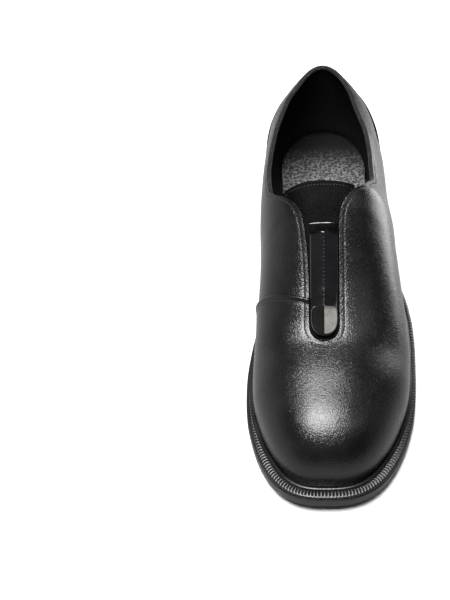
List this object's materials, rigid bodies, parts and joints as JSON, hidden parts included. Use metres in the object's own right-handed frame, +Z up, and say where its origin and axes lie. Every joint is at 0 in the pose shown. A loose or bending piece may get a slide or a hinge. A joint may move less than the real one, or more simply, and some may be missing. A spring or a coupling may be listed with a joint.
{
  "type": "slip-on shoe",
  "caption": "Low-heeled black leather slip-on shoe, left foot, with a storm welt, patent heel overlay and a metal-tipped strap set in a slot over the instep.",
  "frame": {"origin": "middle of the shoe's bounding box, on the floor it stands on", "axes": "+Z up, -Y towards the toe, +X towards the outer (lateral) side of a left shoe"},
  "size_m": [0.097, 0.265, 0.0975],
  "materials": {
    "outsole": "moulded black rubber, satin",
    "welt": "moulded black welt, ribbed",
    "insole": "dark sock leather",
    "upper": "black fine-grained leather, satin",
    "heel_counter": "black patent leather",
    "tongue": "black fine-grained leather",
    "strap": "black patent leather",
    "strap_bar": "polished gunmetal plating",
    "strap_tip": "polished gunmetal plating"
  },
  "bodies": {
    "root": {"outsole": "outsole", "welt": "welt", "insole": "insole", "upper": "upper", "heel_counter": "heel_counter", "tongue": "tongue", "strap": "strap", "strap_bar": "strap_bar", "strap_tip": "strap_tip"}
  },
  "joints": []
}
